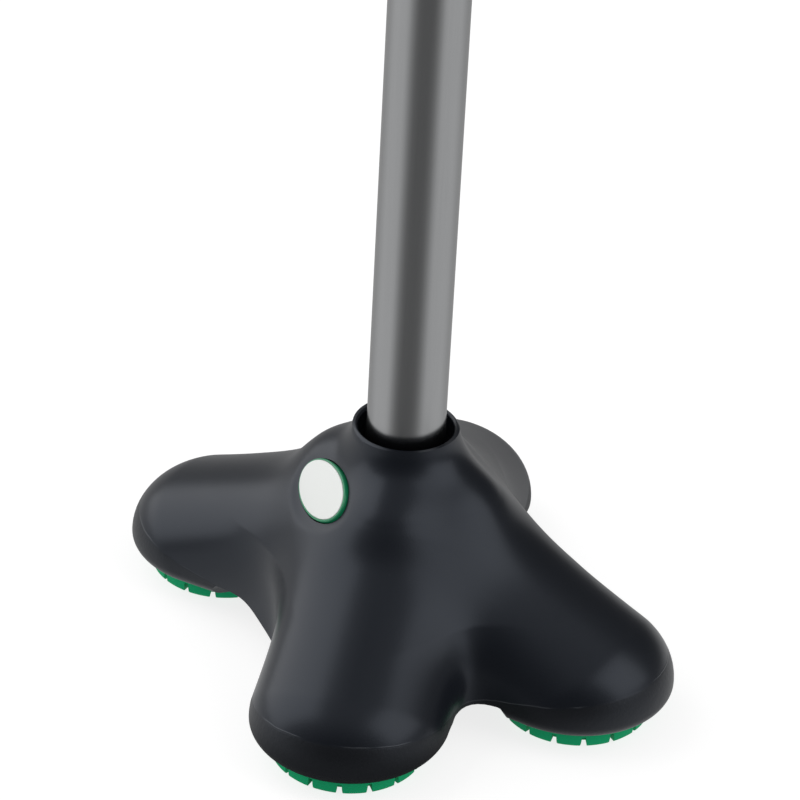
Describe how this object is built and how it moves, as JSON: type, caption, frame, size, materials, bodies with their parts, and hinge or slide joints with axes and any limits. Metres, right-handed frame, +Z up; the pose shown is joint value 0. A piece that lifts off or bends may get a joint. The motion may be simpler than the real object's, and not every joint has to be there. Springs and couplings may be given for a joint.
{
  "type": "offset quad cane",
  "caption": "Height-adjustable offset walking cane with a level grip on a curved bow and a soft four-footed base that stands by itself.",
  "frame": {"origin": "on the floor, on the axis of the shaft, which is the middle of the base", "axes": "+Z up along the shaft, +X the walking direction, towards the front of the bow, +Y to the walker's left"},
  "size_m": [0.1439, 0.1054, 0.8382],
  "materials": {
    "boot_rubber": "soft-touch charcoal rubber",
    "nylon": "fine-grained black nylon",
    "green_rubber": "matte green rubber",
    "grey_plastic": "dark grey moulded plastic",
    "green_plastic": "satin green plastic",
    "white_plastic": "off-white satin plastic",
    "aluminium": "satin grey anodised",
    "zinc": "bright zinc plate",
    "spring_steel": "blued spring steel",
    "grip_rubber": "soft-touch charcoal rubber, a shade lighter"
  },
  "bodies": {
    "foot_and_shaft": {"foot_boot": "boot_rubber", "foot_core": "nylon", "tread_front_right": "green_rubber", "tread_front_left": "green_rubber", "tread_rear_right": "green_rubber", "tread_rear_left": "green_rubber", "tread_plate_front_right": "grey_plastic", "tread_plate_front_left": "grey_plastic", "tread_plate_rear_right": "grey_plastic", "tread_plate_rear_left": "grey_plastic", "badge_puck": "green_plastic", "badge_face": "white_plastic", "foot_washer": "zinc", "foot_screw": "zinc", "shaft_plug": "zinc", "lower_tube": "aluminium", "button_spring": "spring_steel", "glide_cap": "nylon"},
    "snap_button": {"snap_button": "zinc"},
    "handle_section": {"upper_tube": "aluminium", "collar_sleeve": "nylon", "grip_core": "nylon", "grip_cover": "grip_rubber", "grip_end_cap": "nylon", "grip_plug": "nylon", "grip_screw": "zinc"},
    "wiper_ring": {"wiper_ring": "green_rubber"},
    "lock_ring": {"lock_ring": "nylon"}
  },
  "joints": [
    {"name": "height_adjust", "type": "slide", "parent": "foot_and_shaft", "child": "handle_section", "axis": [0, 0, 1], "range_m": [-0.1143, 0.1143]},
    {"name": "snap_button_press", "type": "slide", "parent": "foot_and_shaft", "child": "snap_button", "axis": [1, 0, 0], "range_m": [0, 0.004], "stiffness_N_per_m": 1000, "springref_m": -0.004, "deforming": ["button_spring"]},
    {"name": "lock_ring_travel", "type": "slide", "parent": "handle_section", "child": "wiper_ring", "axis": [0, 0, 1], "range_m": [-0.0015, 0]},
    {"name": "lock_ring_turn", "type": "hinge", "parent": "wiper_ring", "child": "lock_ring", "pos_m": [0, 0, 0.385], "axis": [0, 0, 1], "range_deg": [-270, 0]}
  ],
  "couplings": [
    {"joint": "lock_ring_turn", "follows": "lock_ring_travel", "rad_per_m": 3141.6}
  ]
}
